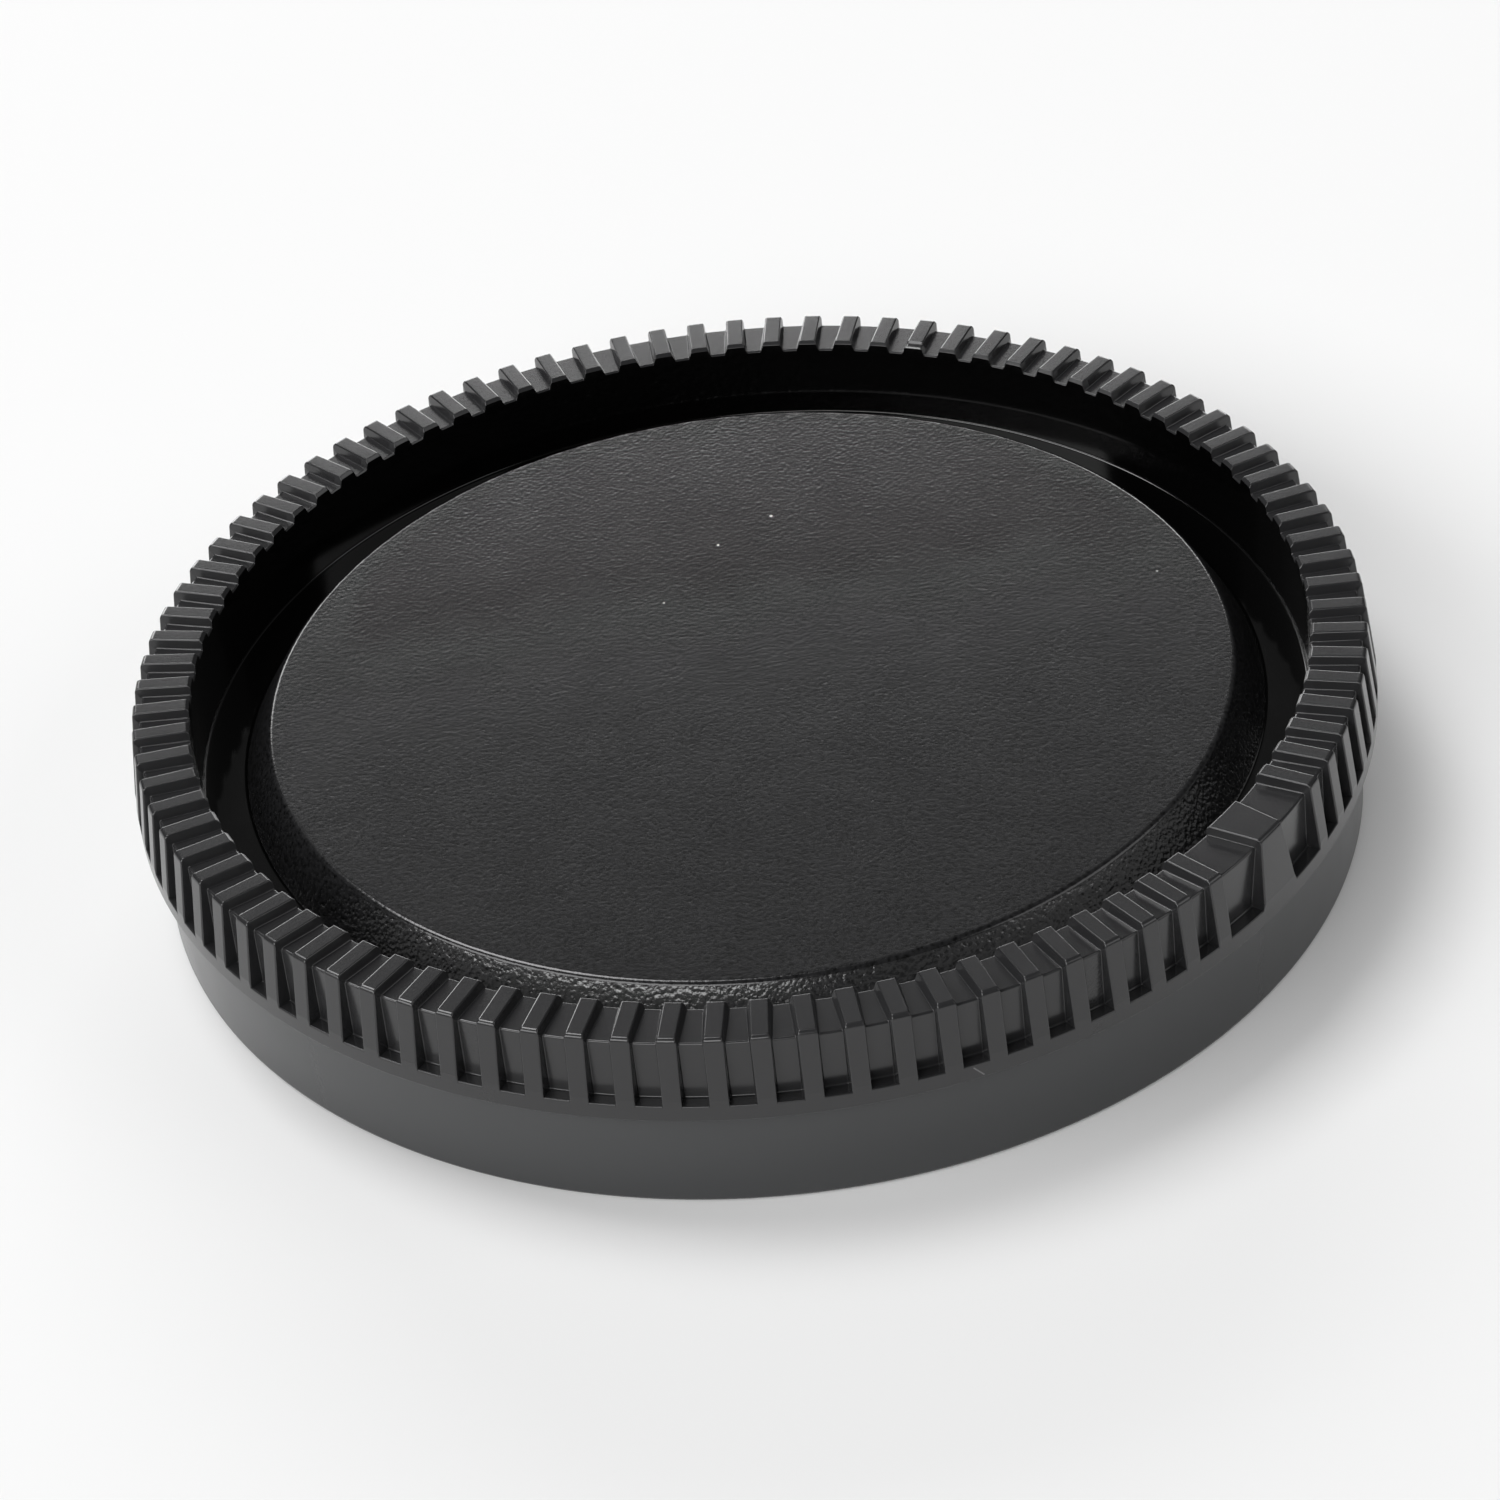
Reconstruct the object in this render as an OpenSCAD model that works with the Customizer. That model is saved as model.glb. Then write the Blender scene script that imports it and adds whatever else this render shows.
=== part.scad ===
// Body cap for an interchangeable-lens camera, moulded in one piece.
// The origin is on the axis, in the plane of the skirt's lower edge. +Z points out of the camera.
// The index mark faces -Y.

/* [Overall] */
// Diameter over the thin flange below the ribs
flange_d = 62; // [60:0.5:76]
// Height from the skirt's lower edge to the rib tops
cap_h = 10.1; // [9:0.1:14]

/* [Ribbed rim] */
// Number of rib places round the rim
rib_n = 90; // [60:2:108]
// Depth of the grooves in the rim's top face
rib_h = 0.48; // [0.3:0.02:0.8]
// Width of a rib at its crest
rib_w = 0.82; // [0.5:0.02:1]
// Width of a rib at the groove floors in the rim's top face
rib_root_w = 1.16; // [1.04:0.02:1.3]
// Width of a rib at the groove floors on the rim's side
rib_side_w = 1; // [0.92:0.02:1.1]
// Width of a rib at the flange's edge
rib_foot_w = 0.9; // [0.6:0.02:1]
// Depth of the grooves on the rim's side, at the rim's top
rib_proud_top = 0.3; // [0.1:0.05:0.6]
// Height above the ledge at which the ribs come out to the flange's edge
rib_foot_h = 0.3; // [0.1:0.05:0.5]
// How far the flange stands out from the groove floors
flange_lip = 0.7; // [0.4:0.05:1]
// Depth from the rib tops to the flange's ledge
rim_side_h = 3.6; // [2.4:0.1:4.6]
// Thickness of the flange at its edge
flange_t = 0.45; // [0.3:0.05:1]
// Rounding of the flange's lower edge
flange_edge_r = 0.12; // [0.05:0.01:0.2]
// Width of the rim's top face, from the groove floors in to the moat
rim_w = 2.5; // [1.8:0.1:4]
// Rounding of the ribs' outer corner
rib_corner_r = 0.25; // [0.1:0.05:0.45]
// Bevel along the ribs' inner ends
rim_bevel = 0.15; // [0.05:0.05:0.3]
// Rounding of the groove floors' outer corner
groove_corner_r = 0.12; // [0.05:0.01:0.2]

/* [Skirt] */
// How far the skirt is set in from the flange's edge
skirt_inset = 0.85; // [0.7:0.05:1.5]
// Wall thickness of the skirt
skirt_wall = 1.5; // [1:0.1:2.5]
// Rounding of the skirt's lower edges
skirt_edge_r = 0.3; // [0.1:0.05:0.45]

/* [Moat and disc] */
// Depth of the moat below the rib tops
moat_depth = 4.35; // [3:0.05:5.3]
// How much the moat's outer wall leans in on its way down
moat_draft = 0.15; // [0:0.05:0.4]
// Width of the moat's floor
moat_floor_w = 2.15; // [1.5:0.05:3]
// How far the raised disc's flank runs in on its way up
flank_run = 1.45; // [0.5:0.05:2]
// Depth of the disc's face below the rib tops
disc_drop = 2; // [1:0.05:2.8]
// Rounding of the edge round the disc's face
disc_edge_r = 0.35; // [0.1:0.05:0.6]
// Fillet at the foot of the disc's flank
disc_foot_r = 0.3; // [0.1:0.05:0.5]
// Fillet where the moat's floor meets its outer wall
moat_corner_r = 0.12; // [0.05:0.01:0.3]

/* [Inside] */
// Thickness of the webs under the moat and the disc
web_t = 1.5; // [1.2:0.1:1.8]
// How much the hollow under the disc narrows on its way up
core_draft = 0.15; // [0:0.05:0.3]
// Fillet round the roof of the hollow
roof_corner_r = 0.5; // [0.2:0.1:1]

/* [Bayonet] */
// Outer diameter of the spigot that enters the camera's throat
spigot_d = 45.6; // [38:0.1:46]
// Wall thickness of the spigot
spigot_wall = 1.5; // [1.2:0.1:2.5]
// Rounding of the spigot's inner edge
spigot_edge_r = 0.3; // [0.1:0.1:0.6]
// Height of the spigot's end above the skirt's lower edge
spigot_end_z = 0.3; // [0.1:0.1:1]
// How far a bayonet lug stands out from the spigot
lug_proud = 1.2; // [0.8:0.1:1.5]
// Number of bayonet lugs
lug_n = 3; // [2:1:4]
// Arc that one lug covers, in degrees
lug_arc = 44; // [30:1:60]
// Thickness of a lug
lug_t = 1.4; // [1:0.1:1.8]
// Angle of the first lug's middle
lug_turn = 30; // [0:1:119]
// Length of the ramp at a lug's leading end
lug_ramp_l = 2.5; // [1:0.1:4]
// Width of the stop behind the first lug
stop_w = 1.2; // [0.8:0.1:2]

/* [Index mark] */
// Width of the mark at the inner end of the rim's top face
mark_in_w = 2.4; // [2:0.1:3]
// Width of the mark at the outer end of the rim's top face
mark_out_w = 1.8; // [1.6:0.1:2.2]
// Width of the mark's waist on the rim's side
mark_waist_w = 1.5; // [1.2:0.1:1.6]
// Depth of the waist below the rib tops
mark_waist_drop = 0.5; // [0.2:0.1:1]
// Width of the mark at the flange
mark_foot_w = 2.9; // [2.4:0.1:3.4]
// Rib places that the mark and the two wide grooves beside it take up
mark_places = 3; // [3:2:5]

/* [Hidden] */
$fn = 96;
ROUND_FN = 48;
SLIVER = 0.01;
REACH = 0.1;

flange_r = flange_d / 2;
groove_r = flange_r - flange_lip;
tip_r = groove_r + rib_proud_top;
skirt_r = flange_r - skirt_inset;
skirt_in_r = skirt_r - skirt_wall;
moat_r = groove_r - rim_w;
moat_floor_r = moat_r - moat_draft;
foot_r = moat_floor_r - moat_floor_w;
disc_r = foot_r - flank_run;

groove_z = cap_h - rib_h;
ledge_z = cap_h - rim_side_h;
moat_z = cap_h - moat_depth;
disc_z = cap_h - disc_drop;
seat_z = moat_z - web_t;
roof_z = disc_z - web_t;

spigot_r = spigot_d / 2;
spigot_in_r = spigot_r - spigot_wall;
roof_r = spigot_in_r - core_draft;
lug_r = spigot_r + lug_proud;
lug_root_r = spigot_r - spigot_wall / 2;
rib_pitch = 360 / rib_n;

// The piece of a corner that lies outside an arc of radius r tangent to both its sides.
// The corner is at p, and its sides run to a and b. Taken from a profile it rounds an outer
// corner, and added to one it fills an inner corner.
module corner(p, a, b, r) {
    u = (a - p) / norm(a - p);
    v = (b - p) / norm(b - p);
    half = acos(u * v) / 2;
    centre = p + (u + v) / norm(u + v) * r / sin(half);
    over = 1 + SLIVER / r;
    difference() {
        polygon([
            centre,
            centre + (p + u * r / tan(half) - centre) * over,
            centre + (p - centre) * over,
            centre + (p + v * r / tan(half) - centre) * over
        ]);
        translate(centre)
            circle(r, $fn = ROUND_FN);
    }
}

// Section of the cap before its grooves are cut, from the axis outwards.
module cap_section() {
    roof = [roof_r, roof_z];
    spigot_in = [spigot_in_r, spigot_end_z];
    skirt_in = [skirt_in_r, 0];
    skirt_out = [skirt_r, 0];
    flange_root = [skirt_r, ledge_z - flange_t];
    flange_low = [flange_r, ledge_z - flange_t];
    flange_high = [flange_r, ledge_z + rib_foot_h];
    tip = [tip_r, cap_h];
    wall_high = [moat_r, cap_h - rim_bevel];
    wall_low = [moat_floor_r, moat_z];
    foot = [foot_r, moat_z];
    disc = [disc_r, disc_z];
    difference() {
        polygon([
            [0, roof_z],
            roof,
            spigot_in,
            [spigot_r, spigot_end_z],
            [spigot_r, seat_z],
            [skirt_in_r, seat_z],
            skirt_in,
            skirt_out,
            flange_root,
            flange_low,
            flange_high,
            tip,
            [moat_r + rim_bevel, cap_h],
            wall_high,
            wall_low,
            foot,
            disc,
            [0, disc_z]
        ]);
        corner(spigot_in, roof, [spigot_r, spigot_end_z], spigot_edge_r);
        corner(skirt_in, skirt_out, [skirt_in_r, seat_z], skirt_edge_r);
        corner(skirt_out, skirt_in, flange_root, skirt_edge_r);
        corner(flange_low, flange_root, flange_high, flange_edge_r);
        corner(tip, [moat_r, cap_h], [tip_r, 0], rib_corner_r);
        corner(disc, [0, disc_z], foot, disc_edge_r);
    }
    corner(roof, [0, roof_z], spigot_in, roof_corner_r);
    corner(wall_low, wall_high, foot, moat_corner_r);
    corner(foot, wall_low, disc, disc_foot_r);
}

// Section of a groove: over the rim's top face, round its outer corner and down to the ledge.
module groove_section() {
    far_r = flange_r + REACH;
    near_r = moat_r - REACH;
    turn = [groove_r, groove_z];
    polygon([
        [near_r, groove_z],
        turn,
        [groove_r, ledge_z],
        [far_r, ledge_z],
        [far_r, cap_h + REACH],
        [near_r, cap_h + REACH]
    ]);
    corner(turn, [near_r, groove_z], [groove_r, ledge_z], groove_corner_r);
}

// Half the width of a wedge at t, where it is w0 wide at t0 and w1 wide at t1.
function wedge(t, t0, w0, t1, w1) = (w0 + (w1 - w0) * (t - t0) / (t1 - t0)) / 2;

// One rib's space, common to an elevation and a plan. It lies along +X.
module rib_space() {
    low = ledge_z - REACH;
    high = cap_h + REACH;
    near = moat_r - 2 * REACH;
    far = flange_r + 2 * REACH;
    low_w = wedge(low, groove_z, rib_root_w, cap_h, rib_w);
    high_w = wedge(high + REACH, groove_z, rib_root_w, cap_h, rib_w);
    near_w = wedge(near, groove_r, rib_side_w, flange_r, rib_foot_w);
    far_w = wedge(far, groove_r, rib_side_w, flange_r, rib_foot_w);
    intersection() {
        // Seen along the rib: narrower at the crest
        rotate([90, 0, 90])
            linear_extrude(far + REACH)
                polygon([[-low_w, low], [low_w, low], [high_w, high + REACH], [-high_w, high + REACH]]);
        // Seen from above: narrower outside
        linear_extrude(cap_h + 3 * REACH)
            polygon([[near, -near_w], [far, -far_w], [far, far_w], [near, near_w]]);
    }
}

// The index mark's space, along +X: a rib that tapers outwards on the rim's top face, and on
// its side has a waist and hollow flanks that spread to the flange.
module mark_space() {
    low = ledge_z - REACH;
    height = cap_h + REACH - low;
    near = moat_r - 2 * REACH;
    far = flange_r + 2 * REACH;
    near_w = wedge(near, moat_r, mark_in_w, tip_r, mark_out_w);
    far_w = wedge(far, moat_r, mark_in_w, tip_r, mark_out_w);
    waist_z = cap_h - mark_waist_drop;
    run = (mark_foot_w - mark_waist_w) / 2;
    drop = waist_z - ledge_z;
    flank_r = (run * run + drop * drop) / (2 * run);
    translate([0, 0, low])
        linear_extrude(height)
            polygon([[near, -near_w], [far, -far_w], [far, far_w], [near, near_w]]);
    difference() {
        translate([groove_r - 2 * REACH, -mark_foot_w, low])
            cube([flange_lip + 4 * REACH, 2 * mark_foot_w, height]);
        for (side = [-1, 1])
            translate([near, side * (mark_waist_w / 2 + flank_r), waist_z])
                rotate([0, 90, 0])
                    cylinder(flange_r, r = flank_r);
    }
}

// What is cut away between the ribs.
module grooves() {
    first = (mark_places + 1) / 2;
    difference() {
        rotate_extrude()
            groove_section();
        rotate(-90)
            mark_space();
        for (i = [first : rib_n - first])
            rotate(-90 + i * rib_pitch)
                rib_space();
    }
}

// A lug is a short length of a ring, with a ramp at its leading end.
module lug() {
    half = lug_arc / 2;
    far = 2 * lug_r;
    difference() {
        intersection() {
            translate([0, 0, spigot_end_z])
                difference() {
                    cylinder(lug_t, r = lug_r);
                    translate([0, 0, -REACH])
                        cylinder(lug_t + 2 * REACH, r = lug_root_r);
                }
            linear_extrude(cap_h)
                polygon([
                    [0, 0],
                    [far * cos(half), -far * sin(half)],
                    [far * cos(half), far * sin(half)]
                ]);
        }
        rotate(half)
            translate([0, -lug_ramp_l, spigot_end_z + lug_t])
                rotate([-atan2(lug_t / 2, lug_ramp_l), 0, 0])
                    cube([far, 2 * lug_ramp_l, lug_t]);
    }
}

module lug_stop() {
    rotate(-lug_arc / 2)
        translate([lug_root_r, 0, spigot_end_z])
            cube([lug_r - lug_root_r - SLIVER, stop_w, seat_z - spigot_end_z + SLIVER]);
}

module bayonet() {
    for (i = [0 : lug_n - 1])
        rotate(lug_turn + i * 360 / lug_n)
            lug();
    rotate(lug_turn)
        lug_stop();
}

module body_cap() {
    color("#2b2b2d") {
        difference() {
            rotate_extrude()
                cap_section();
            grooves();
        }
        bayonet();
    }
}

body_cap();
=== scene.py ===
# %% [markdown]
# # A camera body cap
# A body cap is one piece of black plastic, moulded in one shot, that closes a camera's open lens mount.
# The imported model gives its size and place. This lesson builds the skin that the eye sees: fine bevels,
# ribs, and the finishes that one mould leaves on one plastic, which are grained, polished and satin.

# %% The frame
import math

import bmesh
import bpy
from mathutils import Matrix, Vector


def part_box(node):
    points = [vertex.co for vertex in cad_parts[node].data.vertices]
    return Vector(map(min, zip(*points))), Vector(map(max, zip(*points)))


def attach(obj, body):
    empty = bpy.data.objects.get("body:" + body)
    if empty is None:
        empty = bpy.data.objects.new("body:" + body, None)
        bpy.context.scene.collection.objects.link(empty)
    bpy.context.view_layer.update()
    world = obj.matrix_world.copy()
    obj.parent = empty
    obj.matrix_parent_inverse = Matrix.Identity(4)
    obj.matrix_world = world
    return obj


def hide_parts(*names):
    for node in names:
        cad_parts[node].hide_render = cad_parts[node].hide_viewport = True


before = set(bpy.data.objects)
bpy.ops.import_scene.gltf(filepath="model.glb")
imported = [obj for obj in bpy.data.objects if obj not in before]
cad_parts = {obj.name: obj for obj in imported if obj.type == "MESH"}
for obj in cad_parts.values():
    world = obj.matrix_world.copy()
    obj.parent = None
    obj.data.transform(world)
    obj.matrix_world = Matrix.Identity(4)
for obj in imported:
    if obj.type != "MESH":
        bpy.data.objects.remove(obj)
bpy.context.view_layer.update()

MM = 0.001
SLACK = 0.01
cap_low, cap_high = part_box("body_cap")
FLANGE_R = cap_high.x / MM
CAP_H = cap_high.z / MM
print("flange radius", round(FLANGE_R, 3), "mm, height", round(CAP_H, 3), "mm")

# %% [markdown]
# ## The sizes
# Everything hangs on two sizes that the frame gives: the flange's radius and the height. The rest are the
# steps from one surface to the next, in millimetres, as a toolmaker would note them from the axis outwards
# and from the top down. They are the solid model's steps too, so the skin lies on it, apart from the
# flange's edge, which is twice as thick here because the photograph shows it so.

# %% Sizes of the rim
GROOVE_R = FLANGE_R - 0.7
TIP_R = GROOVE_R + 0.3
MOAT_R = GROOVE_R - 2.5
GROOVE_Z = CAP_H - 0.48
LEDGE_Z = CAP_H - 3.6
FLANGE_Z = LEDGE_Z - 0.9
FOOT_Z = LEDGE_Z + 0.3

RIB_PLACES = 90
MARK_PLACES = 3
PITCH = 360 / RIB_PLACES
CREST_W = 0.82
ROOT_W = 1.16
SIDE_W = 1.0
FOOT_W = 0.9
MARK_IN_W = 2.4
MARK_OUT_W = 1.8
MARK_WAIST_W = 1.5
MARK_WAIST_Z = CAP_H - 0.5
MARK_FOOT_W = 2.9

# %% Sizes of the moat, the disc and the underside
MOAT_FLOOR_R = MOAT_R - 0.15
FOOT_R = MOAT_FLOOR_R - 2.15
DISC_R = FOOT_R - 1.45
MOAT_Z = CAP_H - 4.35
DISC_Z = CAP_H - 2.0

SKIRT_R = FLANGE_R - 0.85
SKIRT_IN_R = SKIRT_R - 1.5
SEAT_Z = MOAT_Z - 1.5
ROOF_Z = DISC_Z - 1.5
SPIGOT_R = 22.8
SPIGOT_IN_R = SPIGOT_R - 1.5
ROOF_R = SPIGOT_IN_R - 0.15
SPIGOT_END_Z = 0.3

# %% [markdown]
# ## The camera
# The camera stands where the photographer's did. It circles the cap by azimuth and elevation, looks at the
# middle of the rim, and then turns by three small angles, because the photographer's frame was not level.
# A long lens from a quarter of a metre keeps the ellipse of the rim calm.

# %% Camera
CAM_AZIMUTH = -49.44
CAM_ELEVATION = 35.08
CAM_DISTANCE = 0.2553
CAM_PAN = -0.088
CAM_TILT = -1.189
CAM_ROLL = -6.508
CAM_FOCAL_PX = 5154.5
CAM_NEAR = 0.01
CAM_FAR = 10
PHOTO_PX = 1500
SENSOR_MM = 36.0


def turn(degrees, axis):
    """A 4 by 4 rotation about one axis."""
    return Matrix.Rotation(math.radians(degrees), 4, axis)


def make_camera():
    """The camera at the photograph's angle, with no shift and no depth of field."""
    data = bpy.data.cameras.new("camera")
    data.sensor_width = SENSOR_MM
    data.lens = CAM_FOCAL_PX / PHOTO_PX * SENSOR_MM
    data.clip_start = CAM_NEAR
    data.clip_end = CAM_FAR
    camera = bpy.data.objects.new("camera", data)
    bpy.context.scene.collection.objects.link(camera)
    around = turn(CAM_AZIMUTH, "Z") @ turn(90 - CAM_ELEVATION, "X")
    back = around @ Vector((0, 0, CAM_DISTANCE))
    place = Matrix.Translation(back + Vector((0, 0, cap_high.z)))
    aim = turn(-CAM_PAN, "Y") @ turn(CAM_TILT, "X") @ turn(CAM_ROLL, "Z")
    camera.matrix_world = place @ around @ aim
    bpy.context.scene.camera = camera
    return camera


camera = make_camera()
print("lens", round(camera.data.lens, 1), "mm at", tuple(round(c, 4) for c in camera.location))

# %% [markdown]
# ## A rounded profile
# Moulded plastic has no knife edges. Each corner of the profile is a point with a radius, and one function
# replaces it with a short arc. The arc tells the light where the edge is, which is what makes a black part
# readable.


# %% Arcs along a profile
STRAIGHT_HALF = math.radians(89.5)
STEP_GAP = 0.04


def arc_points(before, corner, after, radius, steps):
    """Points of the arc that rounds a corner, or a short row of points where the run goes straight on."""
    a = (Vector(before) - Vector(corner)).normalized()
    b = (Vector(after) - Vector(corner)).normalized()
    half = a.angle(b) / 2
    if half > STRAIGHT_HALF:
        nudge = (Vector(after) - Vector(before)).normalized() * STEP_GAP
        return [tuple(Vector(corner) + nudge * (i / steps - 0.5)) for i in range(steps + 1)]
    reach = radius / math.tan(half)
    middle = Vector(corner) + (a + b).normalized() * (radius / math.sin(half))
    start = Vector(corner) + a * reach - middle
    end = Vector(corner) + b * reach - middle
    swing = start.angle_signed(end)
    points = []
    for i in range(steps + 1):
        angle = -swing * i / steps
        c, s = math.cos(angle), math.sin(angle)
        points.append((middle.x + start.x * c - start.y * s, middle.y + start.x * s + start.y * c))
    return points


def rounded(profile):
    """Every corner is (r, z, radius, steps). Returns the points of the rounded line."""
    points = [profile[0][:2]]
    for before, corner, after in zip(profile, profile[1:], profile[2:]):
        points += arc_points(before[:2], corner[:2], after[:2], corner[2], corner[3])
    points.append(profile[-1][:2])
    return points


# %% [markdown]
# ## Two profiles, one for a rib and one for a groove
# Cut the rim through a rib, and then through a groove: both cuts have the same number of corners, so each
# corner of one belongs to a corner of the other. A rib's flank is what lies between the two. Everything
# inside and below the rim is the same in both cuts. Each corner is a radius from the axis, a height, the
# radius of its round and the number of steps in it. The lines stop short of the axis, and one flat face
# closes each of the two round holes later.

# %% Profiles
HOLE_R = 6.0
WORN_R = MOAT_R + 0.5
RIM_START = (MOAT_R - 0.02, GROOVE_Z - 0.6)
RIM_END = (FLANGE_R, LEDGE_Z - 0.2)

top_profile = rounded([
    (HOLE_R, DISC_Z),
    (DISC_R - 0.9, DISC_Z, 0, 1),
    (DISC_R, DISC_Z, 0.35, 4),
    (FOOT_R, MOAT_Z, 0.3, 4),
    (MOAT_FLOOR_R, MOAT_Z, 0.12, 3),
    RIM_START,
])
rib_profile = rounded([
    RIM_START,
    (MOAT_R, CAP_H - 0.15, 0.05, 2),
    (MOAT_R + 0.15, CAP_H, 0.05, 2),
    (WORN_R, CAP_H, 0, 1),
    (TIP_R, CAP_H, 0.25, 4),
    (FLANGE_R, FOOT_Z, 0.4, 2),
    (FLANGE_R, LEDGE_Z - 0.1, 0.05, 2),
    RIM_END,
])
groove_profile = rounded([
    RIM_START,
    (MOAT_R, GROOVE_Z - 0.07, 0.03, 2),
    (MOAT_R + 0.07, GROOVE_Z, 0.04, 2),
    (WORN_R, GROOVE_Z, 0, 1),
    (GROOVE_R, GROOVE_Z, 0.12, 4),
    (GROOVE_R, LEDGE_Z, 0.1, 2),
    (FLANGE_R, LEDGE_Z, 0.07, 2),
    RIM_END,
])
lower_profile = rounded([
    RIM_END,
    (FLANGE_R, FLANGE_Z, 0.08, 2),
    (SKIRT_R, FLANGE_Z, 0.08, 2),
    (SKIRT_R, 0, 0.3, 3),
    (SKIRT_IN_R, 0, 0.3, 3),
    (SKIRT_IN_R, SEAT_Z, 0.2, 2),
    (SPIGOT_R, SEAT_Z, 0.2, 2),
    (SPIGOT_R, SPIGOT_END_Z, 0.15, 2),
    (SPIGOT_IN_R, SPIGOT_END_Z, 0.15, 2),
    (ROOF_R, ROOF_Z, 0.5, 3),
    (HOLE_R, ROOF_Z),
])
print("profile points", len(top_profile), len(rib_profile), len(groove_profile), len(lower_profile))
assert len(rib_profile) == len(groove_profile)

# %% [markdown]
# ## One sector of the cap
# The cap repeats itself every four degrees, so it is enough to model one slice: half a groove, a rib, half
# a groove. Each row of the slice is one point of the profile, and each column crosses the rib from one
# groove to the next. The columns bunch up at the rib's two edges and form a small round there.


# %% Widths across a rib
def between(t, t0, w0, t1, w1):
    """A straight line through (t0, w0) and (t1, w1)."""
    return w0 + (w1 - w0) * (t - t0) / (t1 - t0)


def rib_half(r, z):
    """Half a rib's width at a point of its flank: narrow at the crest, and narrow at the flange."""
    seen_along = between(z, GROOVE_Z, ROOT_W, CAP_H, CREST_W)
    seen_above = between(r, GROOVE_R, SIDE_W, FLANGE_R, FOOT_W)
    return min(seen_along, seen_above) / 2


def mark_half(r, z):
    """Half the index mark's width: it tapers outwards on top, and its side has a waist and a wide foot."""
    seen_above = between(r, MOAT_R, MARK_IN_W, TIP_R, MARK_OUT_W) / 2
    if r < GROOVE_R - 0.2:
        return seen_above
    run = (MARK_FOOT_W - MARK_WAIST_W) / 2
    drop = MARK_WAIST_Z - LEDGE_Z
    flank_r = (run * run + drop * drop) / (2 * run)
    hollow = flank_r - math.sqrt(flank_r * flank_r - (z - MARK_WAIST_Z) ** 2)
    return max(seen_above, MARK_WAIST_W / 2 + hollow)


# %% Columns of a sector
EDGE_R = 0.09
EDGE_SHARE = 0.4
EDGE_STEPS = 3
ROOT_R = 0.05
ROOT_SHARE = 0.3
ROOT_CUT = 0.3


def flank_climb(height, foot_half, top_half):
    """The way up a rib's flank: distances from the rib's middle plane, and heights over the groove."""
    edge = min(EDGE_R, EDGE_SHARE * height)
    root = min(ROOT_R, ROOT_SHARE * height)
    slope = (top_half - foot_half) / max(height, EDGE_R)
    climb = [(foot_half + root, 0.0), (foot_half + root * ROOT_CUT, root * ROOT_CUT)]
    climb += [(foot_half + slope * up, up) for up in (root, height - edge)]
    shoulder = foot_half + slope * (height - edge)
    for i in range(1, EDGE_STEPS + 1):
        swing = math.radians(90 * i / EDGE_STEPS)
        climb.append((shoulder - edge * (1 - math.cos(swing)), height - edge * (1 - math.sin(swing))))
    return climb


def across(rib_point, groove_point, half_at, places):
    """One row of a sector: the points from the middle of one groove to the middle of the next."""
    height = math.dist(rib_point, groove_point)
    side = []
    for offset, up in flank_climb(height, half_at(*groove_point), half_at(*rib_point)):
        lift = up / height if height else 0
        r = between(lift, 0, groove_point[0], 1, rib_point[0])
        z = between(lift, 0, groove_point[1], 1, rib_point[1])
        side.append((math.sqrt(r * r - offset * offset), offset, z))
    r, z = groove_point
    boundary = math.radians(PITCH * places / 2)
    root_angle = math.atan2(side[0][1], side[0][0])
    angles = [between(i, 0, boundary, places, root_angle) for i in range(places)]
    right = [(r * math.cos(a), r * math.sin(a), z) for a in angles] + side
    left = [(x, -y, z) for x, y, z in reversed(right)]
    return right + [(rib_point[0], 0.0, rib_point[1])] + left


def plain_row(point, angles):
    """One row where the cap is plainly round: the same columns on a circle."""
    r, z = point
    return [(r * math.cos(a), r * math.sin(a), z) for a in angles]


# %% [markdown]
# The slice is a grid, so its faces are quads in rows. The disc and its flank are grained, the moat is
# polished, and the rim, the skirt and the inside are three kinds of satin. Each face notes its finish as a
# number, which the node tree reads later. The borders lie between two rows of the grid.

# %% Where the finishes meet
GRAINED, FLANK, POLISHED, RIM, SATIN_AND_SHEEN, INSIDE = range(6)
GRAIN_END_R = DISC_R + 0.15
FLANK_END_R = FOOT_R - 0.05
POLISH_END_R = MOAT_R + SLACK
POLISH_END_Z = GROOVE_Z - 0.1
SKIRT_FOOT_R = SKIRT_IN_R + 0.5


def finish_of(r, z, row, rows_on_top):
    """The finish of the faces between a row and the next."""
    if row >= rows_on_top:
        return SATIN_AND_SHEEN if r > SKIRT_FOOT_R else INSIDE
    if r < FLANK_END_R:
        return GRAINED if r < GRAIN_END_R else FLANK
    return POLISHED if r < POLISH_END_R and z < POLISH_END_Z else RIM


# %% A sector as a mesh
def sector_rows(half_at, places):
    """The rows of points from the disc over the rim to the underside, and how many of them lie on top."""
    rim = [across(p, g, half_at, places) for p, g in zip(rib_profile, groove_profile)]
    inner_angles = [math.atan2(y, x) for x, y, z in rim[0]]
    outer_angles = [math.atan2(y, x) for x, y, z in rim[-1]]
    top = [plain_row(p, inner_angles) for p in top_profile[:-1]]
    under = [plain_row(p, outer_angles) for p in lower_profile[1:]]
    return top + rim + under, len(top) + len(rim)


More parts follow.
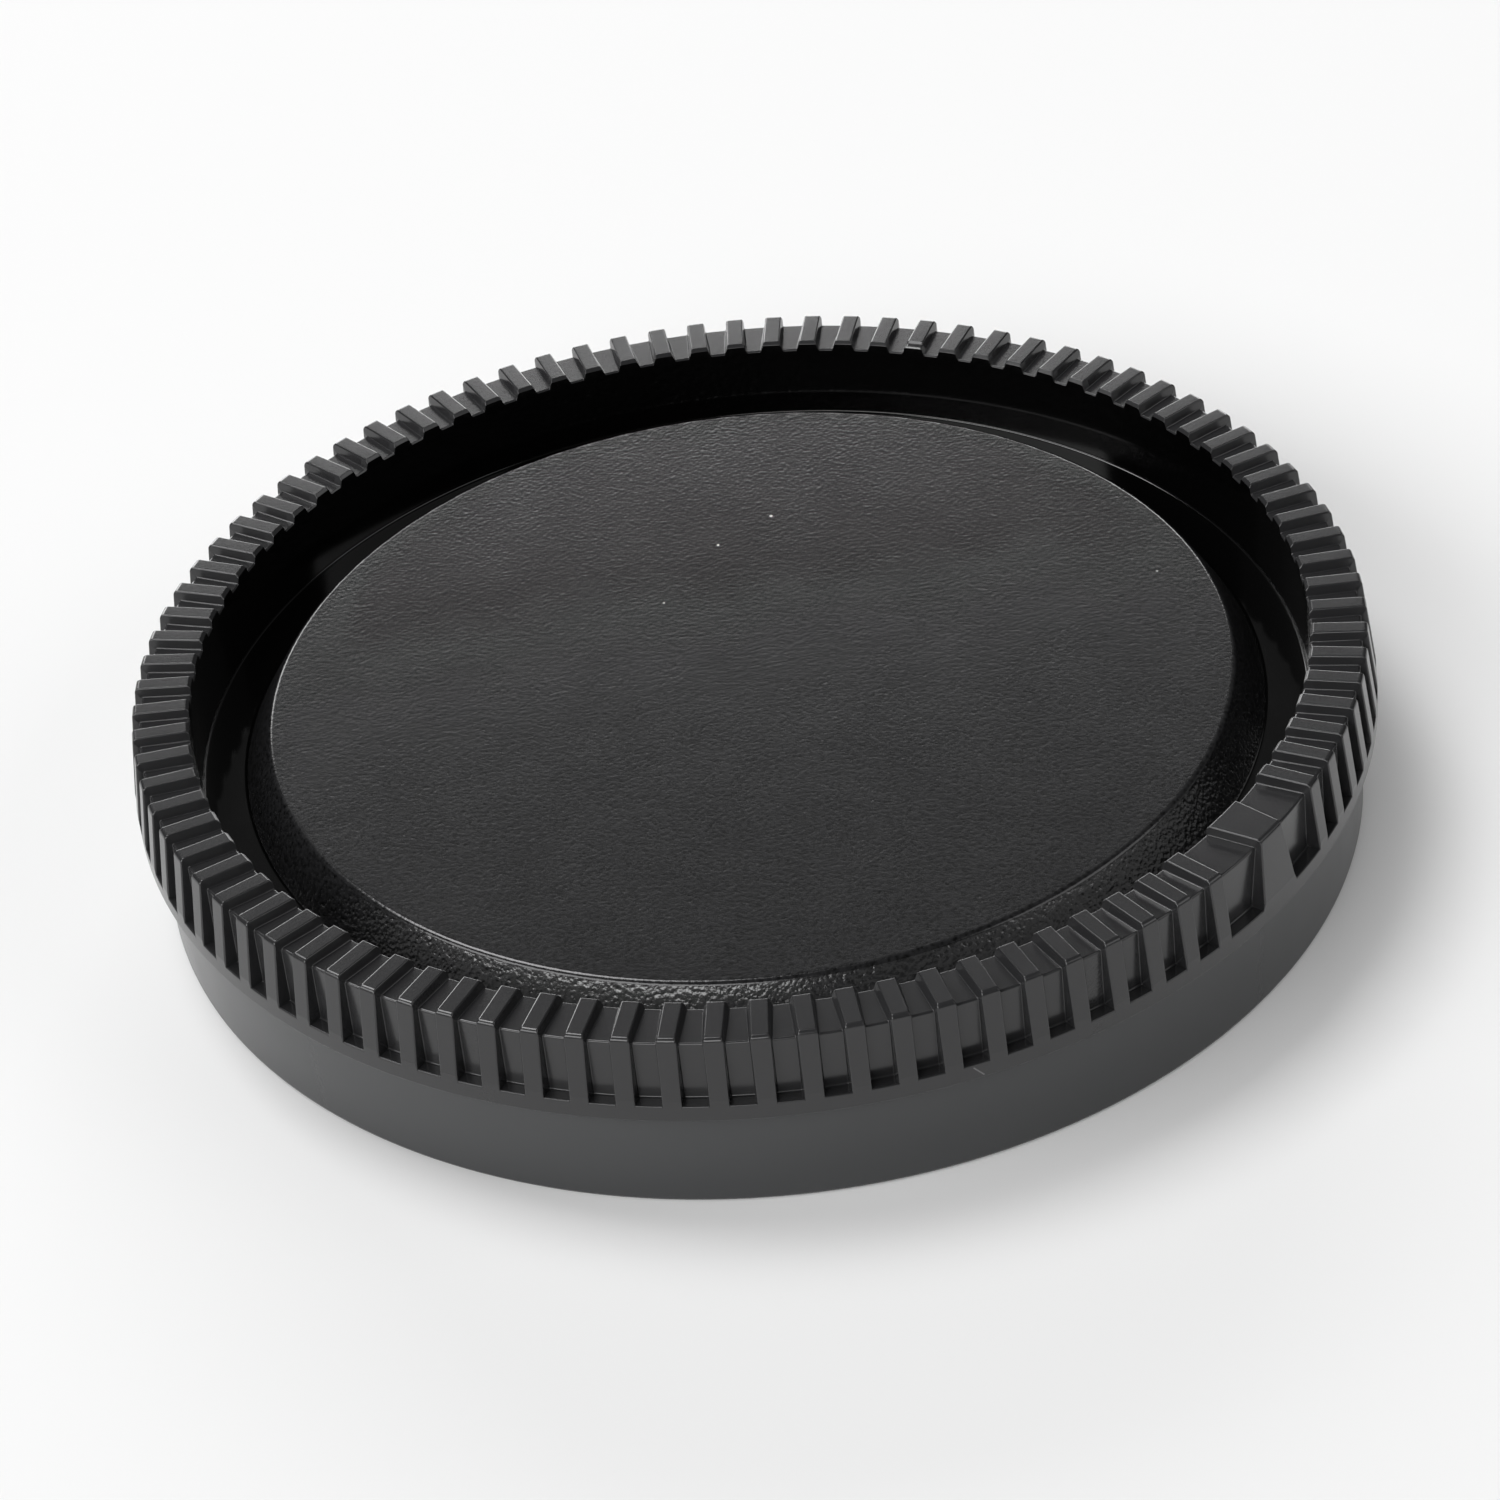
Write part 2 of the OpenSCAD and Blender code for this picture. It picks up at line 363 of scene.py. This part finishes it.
def sector_mesh(name, half_at, places):
    """The grid of one sector, with its middle along +X, in metres."""
    rows, rows_on_top = sector_rows(half_at, places)
    data = bpy.data.meshes.new(name)
    width = len(rows[0])
    points = [[c * MM for c in point] for row in rows for point in row]
    faces = []
    numbers = []
    for i in range(len(rows) - 1):
        for j in range(width - 1):
            a = i * width + j
            faces.append((a, a + 1, a + width + 1, a + width))
            x, y, z = rows[i][j]
            x2, y2, z2 = rows[i + 1][j]
            r = (math.hypot(x, y) + math.hypot(x2, y2)) / 2
            numbers.append(finish_of(r, (z + z2) / 2, i, rows_on_top))
    data.from_pydata(points, [], faces)
    finish = data.attributes.new("finish", "INT", "FACE")
    finish.data.foreach_set("value", numbers)
    piece = bpy.data.objects.new(name, data)
    bpy.context.scene.collection.objects.link(piece)
    print(name, "has", len(data.polygons), "faces")
    return piece


rib_sector = sector_mesh("rib_sector", rib_half, 1)
mark_sector = sector_mesh("mark_sector", mark_half, MARK_PLACES)

# %% [markdown]
# ## What the plastic is
# All of it is ABS, black right through, with an index of refraction of about 1.53. Only the mould's surface
# differs. Spark erosion leaves a fine leather-like grain about a fifth of a millimetre wide that scatters
# the light. Polished steel leaves a deep gloss that mirrors what is around it. Drawn stones leave satin.

# %% Node helpers
def linear(hex_colour):
    """A shader colour from an sRGB hex value."""
    out = []
    for i in (1, 3, 5):
        c = int(hex_colour[i:i + 2], 16) / 255
        out.append(c / 12.92 if c <= 0.04045 else ((c + 0.055) / 1.055) ** 2.4)
    return (*out, 1.0)


def add_node(tree, kind, inputs=None, **settings):
    """Adds a node, sets its options, and sets or links its inputs."""
    node = tree.nodes.new(kind)
    for key, value in settings.items():
        setattr(node, key, value)
    for key, value in (inputs or {}).items():
        if isinstance(value, bpy.types.NodeSocket):
            tree.links.new(value, node.inputs[key])
        else:
            node.inputs[key].default_value = value
    return node


def new_material(name):
    """An empty material and its tree."""
    material = bpy.data.materials.new(name)
    material.use_nodes = True
    material.node_tree.nodes.clear()
    return material, material.node_tree


ABS_IOR = 1.53
PER_MM = 1000.0


def object_place(tree):
    """The point on the object, in metres."""
    return add_node(tree, "ShaderNodeTexCoord").outputs["Object"]


def finish_plastic(tree, colour, roughness, bump=None, specular=0.5):
    """Ends a tree in the plastic's shader."""
    shader = add_node(tree, "ShaderNodeBsdfPrincipled", {"IOR": ABS_IOR, "Specular IOR Level": specular})
    for key, value in (("Base Color", colour), ("Roughness", roughness), ("Normal", bump)):
        if isinstance(value, bpy.types.NodeSocket):
            tree.links.new(value, shader.inputs[key])
        elif value is not None:
            shader.inputs[key].default_value = value
    add_node(tree, "ShaderNodeOutputMaterial", {"Surface": shader.outputs["BSDF"]})


# %% [markdown]
# Four specks of dust lie on the disc, and a small pale nick crosses the flange. They are made of soft round
# spots about points on the part, so they stay where they are from every side. A speck is given by its
# place and its radius, and each end of the nick by its angle round the axis and its height.

# %% Dust and nick
DUST = [(11.95, 7.53, 0.09), (8.45, 8.35, 0.07), (2.91, 7.63, 0.06), (17.51, -12.73, 0.06)]
DUST_SPOTS = [((x, y, DISC_Z), radius) for x, y, radius in DUST]
DUST_COLOUR = "#B8B8B6"
NICK_FROM = (-124.3, 6.3)
NICK_TO = (-123.5, 5.8)
NICK_RADIUS = 0.05
NICK_DOTS = 8
NICK_COLOUR = "#6C6C6C"
FULL_SHARE = 0.5
print("specks of dust", len(DUST_SPOTS), "and dots along the nick", NICK_DOTS)


def nick_spots():
    """Overlapping spots along the nick, on the flange's face."""
    spots = []
    for i in range(NICK_DOTS):
        degrees, z = (between(i, 0, a, NICK_DOTS - 1, b) for a, b in zip(NICK_FROM, NICK_TO))
        angle = math.radians(degrees)
        spots.append(((FLANGE_R * math.cos(angle), FLANGE_R * math.sin(angle), z), NICK_RADIUS))
    return spots


def mixed(tree, factor, first, second):
    """A colour between two, each a socket or a shader colour."""
    mix = add_node(tree, "ShaderNodeMix", {0: factor, 6: first, 7: second}, data_type="RGBA")
    return mix.outputs[2]


def spotted(tree, place, colour, pale, spots):
    """The plastic's colour, with soft pale spots at points given in millimetres."""
    cover = 0.0
    for point, radius in spots:
        away = add_node(tree, "ShaderNodeVectorMath", {0: place, 1: [c * MM for c in point]},
                        operation="DISTANCE").outputs["Value"]
        spot = add_node(tree, "ShaderNodeMapRange", {"Value": away, "From Min": radius * FULL_SHARE * MM,
                                                     "From Max": radius * MM, "To Min": 1.0,
                                                     "To Max": 0.0}).outputs["Result"]
        cover = add_node(tree, "ShaderNodeMath", {0: spot, 1: cover}, operation="MAXIMUM").outputs[0]
    return mixed(tree, cover, colour, linear(pale))


# %% [markdown]
# ### The spark-eroded grain
# Sparks leave the steel covered in tiny craters, and the plastic comes out with pebbles to match. Rounded
# cells a fifth of a millimetre wide, plus noise a quarter of a millimetre wide, give the height. The same
# height also paints shade into the colour: the pits hold less light than the pebbles' tops, so they are
# drawn a shade darker. The disc's flank is the same grain, drawn deeper and glossier, because the light
# meets it square and the pebbles sparkle.

# %% Grained ABS
# The first colour is painted shade for the grain's pits; the second is the plastic's own colour.
PIT_SHADE = "#020202"
PEBBLE = "#202021"
PEBBLE_W = 0.2
SPECKLE_W = 0.25
PATCH_W = 4.0
GRAIN_STRENGTH = 0.55
PIT_SHADE_BELOW = 0.5
UNSHADED_ABOVE = 1.1


def pebble_height(tree, place):
    """The height of the grain: rounded cells plus a little noise."""
    cells = add_node(tree, "ShaderNodeTexVoronoi", {"Vector": place, "Scale": PER_MM / PEBBLE_W},
                     feature="SMOOTH_F1")
    speckle = add_node(tree, "ShaderNodeTexNoise", {"Vector": place, "Scale": PER_MM / SPECKLE_W,
                                                    "Detail": 2.0, "Roughness": 0.6})
    return add_node(tree, "ShaderNodeMath", {0: cells.outputs["Distance"], 1: speckle.outputs["Fac"]},
                    operation="ADD").outputs[0]


def grained_abs(name, depth, low, high, specular):
    """ABS from a spark-eroded mould. Its roughness drifts between two values in broad patches."""
    material, tree = new_material(name)
    place = object_place(tree)
    height = pebble_height(tree, place)
    bump = add_node(tree, "ShaderNodeBump", {"Height": height, "Strength": GRAIN_STRENGTH,
                                             "Distance": depth * MM})
    patches = add_node(tree, "ShaderNodeTexNoise", {"Vector": place, "Scale": PER_MM / PATCH_W,
                                                    "Detail": 2.0})
    rough = add_node(tree, "ShaderNodeMapRange", {"Value": patches.outputs["Fac"], "To Min": low,
                                                  "To Max": high})
    # Painted shade: the lower the grain, the closer its colour comes to the dark pit colour.
    unshaded_share = add_node(tree, "ShaderNodeMapRange", {"Value": height, "From Min": PIT_SHADE_BELOW,
                                                   "From Max": UNSHADED_ABOVE}).outputs["Result"]
    pebbles_with_pit_shade = mixed(tree, unshaded_share, linear(PIT_SHADE), linear(PEBBLE))
    colour = spotted(tree, place, pebbles_with_pit_shade, DUST_COLOUR, DUST_SPOTS)
    finish_plastic(tree, colour, rough.outputs["Result"], bump.outputs["Normal"], specular)
    return material


# %% [markdown]
# ### The polished moat
# The moat's floor and wall are so smooth that they show hardly any colour of their own. They are black with
# a sharp reflection, and a faint cloudiness in the roughness keeps them from looking like glass.

# %% Polished ABS
CLOUD_W = 5 / 3


def polished_abs(name, colour, low, high):
    """ABS from polished steel: nearly a mirror, with the faintest haze."""
    material, tree = new_material(name)
    place = object_place(tree)
    clouds = add_node(tree, "ShaderNodeTexNoise", {"Vector": place, "Scale": PER_MM / CLOUD_W,
                                                   "Detail": 3.0})
    rough = add_node(tree, "ShaderNodeMapRange", {"Value": clouds.outputs["Fac"], "To Min": low,
                                                  "To Max": high})
    finish_plastic(tree, linear(colour), rough.outputs["Result"])
    return material


# %% [markdown]
# ### The satin rim and skirt
# Stones drawn over the steel leave an even satin. The ribs look darker and crisper than the skirt, so the
# rim has a glossier satin of its own. The skirt's colour is drawn lighter than the rim's, as painted sheen
# for the pale floor that it mirrors. The inside can't be seen, and is taken to be a little duller. The real
# scratches are too fine to show, so their trace is drawn a sixth of a millimetre wide.

# %% Satin ABS
SCRATCH_W = 1 / 6
SCRATCH_DEPTH = 0.02
SCRATCH_STRENGTH = 0.12
DRIFT_W = 2.5


def satin_abs(name, colour, low, high):
    """ABS from stoned steel: an even satin with a trace of fine grain."""
    material, tree = new_material(name)
    place = object_place(tree)
    fine = add_node(tree, "ShaderNodeTexNoise", {"Vector": place, "Scale": PER_MM / SCRATCH_W,
                                                 "Detail": 2.0})
    bump = add_node(tree, "ShaderNodeBump", {"Height": fine.outputs["Fac"], "Strength": SCRATCH_STRENGTH,
                                             "Distance": SCRATCH_DEPTH * MM})
    drift = add_node(tree, "ShaderNodeTexNoise", {"Vector": place, "Scale": PER_MM / DRIFT_W,
                                                  "Detail": 2.0})
    rough = add_node(tree, "ShaderNodeMapRange", {"Value": drift.outputs["Fac"], "To Min": low,
                                                  "To Max": high})
    nicked = spotted(tree, place, linear(colour), NICK_COLOUR, nick_spots())
    finish_plastic(tree, nicked, rough.outputs["Result"], bump.outputs["Normal"])
    return material


# %% [markdown]
# ### One material for each finish
# A grained one takes the depth of its grain in millimetres, the least and the greatest roughness, and how
# strongly it mirrors, where a half is what the plastic's index gives. The flank has the whole, because its
# pebbles sparkle in the photograph. The others take a colour and the two roughnesses.

# %% The finishes
finishes = {
    GRAINED: grained_abs("abs_spark_eroded", 0.011, 0.17, 0.2, 0.5),
    FLANK: grained_abs("abs_spark_eroded_flank", 0.055, 0.2, 0.24, 1.0),
    POLISHED: polished_abs("abs_polished", "#030303", 0.06, 0.12),
    RIM: satin_abs("abs_satin_rim", "#282829", 0.18, 0.22),
    # The skirt's lighter colour here is painted sheen for the pale floor that it mirrors.
    SATIN_AND_SHEEN: satin_abs("abs_satin", "#393A3B", 0.22, 0.28),
    INSIDE: satin_abs("abs_satin_inside", "#1C1C1D", 0.3, 0.36),
}
print("finishes", [m.name for m in finishes.values()])

# %% [markdown]
# ## A node tree that sets the sectors round the axis
# Geometry Nodes repeat the slice: points, one for each place round the rim, each turned a pitch further
# than the last. The instances are made real, the seams are welded, and each finish number gets its
# material. The count and the first angle are inputs, so the same tree also turns the single mark sector.

# %% The tree
WELD_GAP = 0.001


def empty_ring_tree():
    """The tree's outside: what goes in and what comes out."""
    tree = bpy.data.node_groups.new("ring_of_sectors", "GeometryNodeTree")
    sockets = tree.interface
    sockets.new_socket("Geometry", in_out="INPUT", socket_type="NodeSocketGeometry")
    sockets.new_socket("Places", in_out="INPUT", socket_type="NodeSocketInt")
    sockets.new_socket("First Angle", in_out="INPUT", socket_type="NodeSocketFloat")
    sockets.new_socket("Pitch", in_out="INPUT", socket_type="NodeSocketFloat")
    sockets.new_socket("Geometry", in_out="OUTPUT", socket_type="NodeSocketGeometry")
    return tree


def ring_tree():
    """Repeats the incoming sector round the axis and gives each face its finish."""
    tree = empty_ring_tree()
    given = add_node(tree, "NodeGroupInput").outputs
    points = add_node(tree, "GeometryNodePoints", {"Count": given["Places"]})
    number = add_node(tree, "GeometryNodeInputIndex")
    step = add_node(tree, "ShaderNodeMath", {0: number.outputs[0], 1: given["Pitch"],
                                             2: given["First Angle"]}, operation="MULTIPLY_ADD")
    angle = add_node(tree, "ShaderNodeMath", {0: step.outputs[0]}, operation="RADIANS")
    spin = add_node(tree, "ShaderNodeCombineXYZ", {"Z": angle.outputs[0]})
    copies = add_node(tree, "GeometryNodeInstanceOnPoints",
                      {"Points": points.outputs[0], "Instance": given["Geometry"],
                       "Rotation": spin.outputs[0]})
    real = add_node(tree, "GeometryNodeRealizeInstances", {"Geometry": copies.outputs[0]})
    welded = add_node(tree, "GeometryNodeMergeByDistance", {"Geometry": real.outputs[0],
                                                            "Distance": WELD_GAP * MM})
    kind = add_node(tree, "GeometryNodeInputNamedAttribute", {"Name": "finish"}, data_type="INT")
    shape = welded.outputs[0]
    for finish, material in finishes.items():
        chosen = add_node(tree, "FunctionNodeCompare", {"A": kind.outputs[0], "B": finish},
                          data_type="INT", operation="EQUAL")
        shape = add_node(tree, "GeometryNodeSetMaterial",
                         {"Geometry": shape, "Selection": chosen.outputs[0],
                          "Material": material}).outputs[0]
    add_node(tree, "NodeGroupOutput", {"Geometry": shape})
    return tree


ring = ring_tree()


def repeated(piece, places, first_angle):
    """The sector repeated round the axis, as a plain mesh."""
    modifier = piece.modifiers.new("ring", "NODES")
    modifier.node_group = ring
    given = {s.name: s.identifier for s in ring.interface.items_tree if s.in_out == "INPUT"}
    modifier[given["Places"]] = places
    modifier[given["First Angle"]] = float(first_angle)
    modifier[given["Pitch"]] = PITCH
    seen = piece.evaluated_get(bpy.context.evaluated_depsgraph_get())
    data = bpy.data.meshes.new_from_object(seen)
    bpy.data.objects.remove(piece)
    return data


MARK_ANGLE = -90
first_rib = MARK_ANGLE + PITCH * (MARK_PLACES + 1) / 2
rib_ring = repeated(rib_sector, RIB_PLACES - MARK_PLACES, first_rib)
mark_part = repeated(mark_sector, 1, MARK_ANGLE)
print("rib ring", len(rib_ring.polygons), "faces, mark", len(mark_part.polygons), "faces")

# %% [markdown]
# ## One closed skin
# The ring of ribs has a gap where the mark belongs. Both meshes go into one, their shared seam is welded,
# and the two round holes on the axis, above and below, are closed with one flat face each.


# %% Weld and close
def one_skin(name, parts):
    """Joins meshes that share a seam into one closed skin."""
    shell = bmesh.new()
    materials = list(finishes.values())
    for part in parts:
        order = [materials.index(m) if m else 0 for m in part.materials]
        start = len(shell.faces)
        shell.from_mesh(part)
        shell.faces.ensure_lookup_table()
        for face in shell.faces[start:]:
            face.material_index = order[face.material_index]
    bmesh.ops.remove_doubles(shell, verts=shell.verts, dist=WELD_GAP * MM)
    open_edges = [e for e in shell.edges if e.is_boundary]
    made = bmesh.ops.holes_fill(shell, edges=open_edges, sides=0)["faces"]
    for face in made:
        on_top = face.calc_center_median().z > (DISC_Z + ROOF_Z) / 2 * MM
        wanted = finishes[GRAINED] if on_top else finishes[INSIDE]
        face.material_index = materials.index(wanted)
    bmesh.ops.recalc_face_normals(shell, faces=shell.faces)
    print("open edges left", sum(e.is_boundary for e in shell.edges), "holes closed", len(made))
    print("volume", round(shell.calc_volume(signed=True) / MM ** 3, 1), "mm3")
    data = bpy.data.meshes.new(name)
    shell.to_mesh(data)
    shell.free()
    for material in materials:
        data.materials.append(material)
    return data


# %% [markdown]
# ## A worn rib
# A cap that rides in a bag gets knocked. At the back of this one, the inner end of one rib has lost
# about an eighth of a millimetre of its crest. The skin already has a row of points half a millimetre in
# from the rib's end, so it is enough to lower what lies between that row and the end.

# %% The worn rib
WORN_ANGLE = 18
WORN_DEPTH = 0.13
WORN_FROM_Z = CAP_H - 0.12


def wear_rib_end(data):
    """Lowers the crest of one rib at its inner end, where the photographed cap is worn."""
    moved = 0
    for vertex in data.vertices:
        x, y, z = (c / MM for c in vertex.co)
        r, angle = math.hypot(x, y), math.degrees(math.atan2(y, x))
        on_this_rib = abs(r * math.radians(angle - WORN_ANGLE)) < CREST_W / 2 + EDGE_R
        if on_this_rib and MOAT_R - SLACK < r < WORN_R and z > WORN_FROM_Z:
            vertex.co.z -= WORN_DEPTH * MM
            moved += 1
    return moved


skin = one_skin("cap_moulding", [rib_ring, mark_part])
print("points lowered at the worn rib", wear_rib_end(skin))
moulding = bpy.data.objects.new("cap_moulding", skin)
bpy.context.scene.collection.objects.link(moulding)

# %% [markdown]
# ## The bayonet's lugs
# Three lugs stand out from the spigot underneath. Each is a short length of a ring with a ramp at its
# leading end, and one has a stop behind it. They are joined to the skin with a boolean, so that the skin
# stays one closed surface with no faces hidden inside. The stop is set a hair inside the lug's own faces
# and a little way into the seat, because two faces in one plane trouble a boolean.

# %% Lugs
LUG_R = SPIGOT_R + 1.2
LUG_ROOT_R = SPIGOT_R - 0.75
LUG_T = 1.4
LUG_ARC = 44
LUG_TURN = 30
LUG_RAMP = 2.5
LUG_COUNT = 3
LUG_STEPS = 40
STOP_W = 1.2
STOP_STEPS = 2
STOP_SHIFT_DEGREES = 0.02
STOP_INSET = 0.02
STOP_RISE = 0.05
STOP_SINK = 0.1


def ring_block(shell, start, end, low, high_at, outer, steps):
    """Adds a closed block that follows the ring from one angle to another, in degrees."""
    rows = []
    for i in range(steps + 1):
        angle = math.radians(between(i, 0, start, steps, end))
        high = high_at(i / steps)
        corners = [(LUG_ROOT_R, low), (outer, low), (outer, high), (LUG_ROOT_R, high)]
        rows.append([
            shell.verts.new((r * math.cos(angle) * MM, r * math.sin(angle) * MM, z * MM))
            for r, z in corners
        ])
    for a, b in zip(rows, rows[1:]):
        for k in range(4):
            shell.faces.new((a[k], a[(k + 1) % 4], b[(k + 1) % 4], b[k]))
    shell.faces.new(reversed(rows[0]))
    shell.faces.new(rows[-1])


def lug_top(share):
    """Height of a lug's upper face, which falls away along the ramp at its leading end."""
    ramp_share = LUG_RAMP / (LUG_R * math.radians(LUG_ARC))
    into = max(0, (share - 1 + ramp_share) / ramp_share)
    return SPIGOT_END_Z + LUG_T * (1 - into / 2)


def lug_mesh():
    """All lugs and the stop as closed blocks."""
    shell = bmesh.new()
    for i in range(LUG_COUNT):
        middle = LUG_TURN + i * 360 / LUG_COUNT
        ring_block(shell, middle - LUG_ARC / 2, middle + LUG_ARC / 2, SPIGOT_END_Z, lug_top, LUG_R,
                   LUG_STEPS)
    start = LUG_TURN - LUG_ARC / 2
    wide = math.degrees(STOP_W / LUG_R)
    ring_block(shell, start + STOP_SHIFT_DEGREES, start + wide, SPIGOT_END_Z + STOP_RISE,
               lambda share: SEAT_Z + STOP_SINK, LUG_R - STOP_INSET, STOP_STEPS)
    bmesh.ops.recalc_face_normals(shell, faces=shell.faces)
    data = bpy.data.meshes.new("lugs")
    shell.to_mesh(data)
    shell.free()
    for material in skin.materials:
        data.materials.append(material)
    inside = list(skin.materials).index(finishes[INSIDE])
    data.polygons.foreach_set("material_index", [inside] * len(data.polygons))
    return data


def add_to(piece, extra):
    """Unites a mesh with a piece and applies the result."""
    helper = bpy.data.objects.new("helper", extra)
    bpy.context.scene.collection.objects.link(helper)
    union = piece.modifiers.new("union", "BOOLEAN")
    union.operation = "UNION"
    union.solver = "MANIFOLD"
    union.object = helper
    seen = piece.evaluated_get(bpy.context.evaluated_depsgraph_get())
    piece_data = bpy.data.meshes.new_from_object(seen)
    piece.modifiers.clear()
    piece.data = piece_data
    bpy.data.objects.remove(helper)


add_to(moulding, lug_mesh())
print("moulding with lugs", len(moulding.data.polygons), "faces")

# %% [markdown]
# ## Shading
# Smooth shading averages the faces that meet at a point. Here each face counts by the square of its area,
# so the large flat faces keep their own direction and the turning is left to the narrow faces of the
# bevels. Where the cap is plainly round, the columns differ in width, so there the direction is also kept
# free of any lean to the side. Without that, fine streaks would show on the skirt.


# %% Normals
BELOW_RIBS_Z = LEDGE_Z - 0.15


def plainly_round(x, y, z):
    """Whether a point, in millimetres, lies on the disc, in the moat or on the skirt."""
    r = math.hypot(x, y)
    on_top = r < MOAT_R - SLACK and z > (MOAT_Z + SEAT_Z) / 2
    return on_top or (r > SKIRT_IN_R - SLACK and z < BELOW_RIBS_Z)


def shade(piece):
    """Smooth shading, led by the largest faces at each point."""
    data = piece.data
    data.shade_smooth()
    facing = [Vector() for vertex in data.vertices]
    for face in data.polygons:
        lean = face.normal * (face.area / MM ** 2) ** 2
        for index in face.vertices:
            facing[index] += lean
    for vertex, normal in zip(data.vertices, facing):
        if plainly_round(*(vertex.co / MM)):
            outward = Vector((vertex.co.x, vertex.co.y, 0)).normalized()
            normal.xy = (outward * normal.dot(outward)).xy
        normal.normalize()
    data.normals_split_custom_set_from_vertices(facing)


shade(moulding)
moulding.data.name = "cap_moulding"
triangles = sum(len(p.vertices) - 2 for p in moulding.data.polygons)
print("triangles", triangles, "materials", [m.name for m in moulding.data.materials])

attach(moulding, "root")
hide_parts("body_cap")

# %% [markdown]
# ## The studio
# A pale floor under a dim, even sky. The floor has the background's colour, so the two meet almost
# without a line. For the eye of the camera and for what the gloss mirrors, a tenth of the floor is that
# plain colour and the rest is lit paper, which keeps the cap's shadow.

# %% Floor
PALE = "#EDEDED"
EVEN_SHARE = 0.1
FLOOR_HALF = 3.0


def floor_paper():
    """Pale paper, with a share of its plain colour for the camera and for reflections."""
    material, tree = new_material("floor_paper")
    paper = add_node(tree, "ShaderNodeBsdfDiffuse", {"Color": linear(PALE)})
    even = add_node(tree, "ShaderNodeEmission", {"Color": linear(PALE), "Strength": 1.0})
    ray = add_node(tree, "ShaderNodeLightPath").outputs
    seen = add_node(tree, "ShaderNodeMath", {0: ray["Is Camera Ray"], 1: ray["Is Glossy Ray"]},
                    operation="MAXIMUM")
    share = add_node(tree, "ShaderNodeMath", {0: seen.outputs[0], 1: EVEN_SHARE}, operation="MULTIPLY")
    shader = add_node(tree, "ShaderNodeMixShader", {0: share.outputs[0], 1: paper.outputs[0],
                                                    2: even.outputs[0]})
    add_node(tree, "ShaderNodeOutputMaterial", {"Surface": shader.outputs[0]})
    return material


def make_floor():
    """A wide floor under the cap."""
    half = FLOOR_HALF
    data = bpy.data.meshes.new("floor")
    data.from_pydata([(-half, -half, 0), (half, -half, 0), (half, half, 0), (-half, half, 0)], [],
                     [(0, 1, 2, 3)])
    data.materials.append(floor_paper())
    floor = bpy.data.objects.new("floor", data)
    bpy.context.scene.collection.objects.link(floor)


make_floor()
print("floor", 2 * FLOOR_HALF, "m wide")

# %% [markdown]
# ## The lights
# A black part is drawn by what it mirrors, so each soft box stands where one surface looks. The key from
# the back left throws the shadow. The low box behind the cap is what the disc mirrors, brighter towards its
# back edge. The box at the front left lights up the disc's flank, and a weak fill opens the right side. A
# last, very faint box above the low one keeps the rest of the disc from going black. Each is placed by the
# angle round from the camera and the height over the floor, both in degrees.

# %% Light
SKY_LEVEL = 0.05
LIGHT_DISTANCE = 3.0


def make_sky():
    """An even, dim sky, and the floor's own colour where the camera looks past the floor."""
    world = bpy.data.worlds.new("studio")
    bpy.context.scene.world = world
    world.use_nodes = True
    tree = world.node_tree
    tree.nodes.clear()
    sky = add_node(tree, "ShaderNodeBackground", {"Color": linear("#FFFFFF"), "Strength": SKY_LEVEL})
    seen = add_node(tree, "ShaderNodeBackground", {"Color": linear(PALE), "Strength": 1.0})
    ray = add_node(tree, "ShaderNodeLightPath")
    mix = add_node(tree, "ShaderNodeMixShader", {0: ray.outputs["Is Camera Ray"], 1: sky.outputs[0],
                                                 2: seen.outputs[0]})
    add_node(tree, "ShaderNodeOutputWorld", {"Surface": mix.outputs[0]})


def soft_light(name, azimuth, elevation, width, height, level):
    """A soft box seen from the cap: its place and size in degrees, and the brightness of its face."""
    data = bpy.data.lights.new(name, "AREA")
    data.shape = "RECTANGLE"
    data.size = 2 * LIGHT_DISTANCE * math.tan(math.radians(width / 2))
    data.size_y = 2 * LIGHT_DISTANCE * math.tan(math.radians(height / 2))
    data.energy = level * math.pi * data.size * data.size_y
    light = bpy.data.objects.new(name, data)
    bpy.context.scene.collection.objects.link(light)
    around = turn(CAM_AZIMUTH + azimuth, "Z") @ turn(90 - elevation, "X")
    light.matrix_world = Matrix.Translation(around @ Vector((0, 0, LIGHT_DISTANCE))) @ around
    return light


make_sky()
soft_light("key", -135, 63, 25, 25, 8.0)
soft_light("side", -45, 36, 70, 26, 4.8)
soft_light("fill", 75, 34, 40, 28, 1.4)
soft_light("back", 184, 14.5, 44, 28, 5.9)
soft_light("haze", 180, 42, 70, 34, 0.05)
bpy.context.scene.view_settings.view_transform = "Standard"
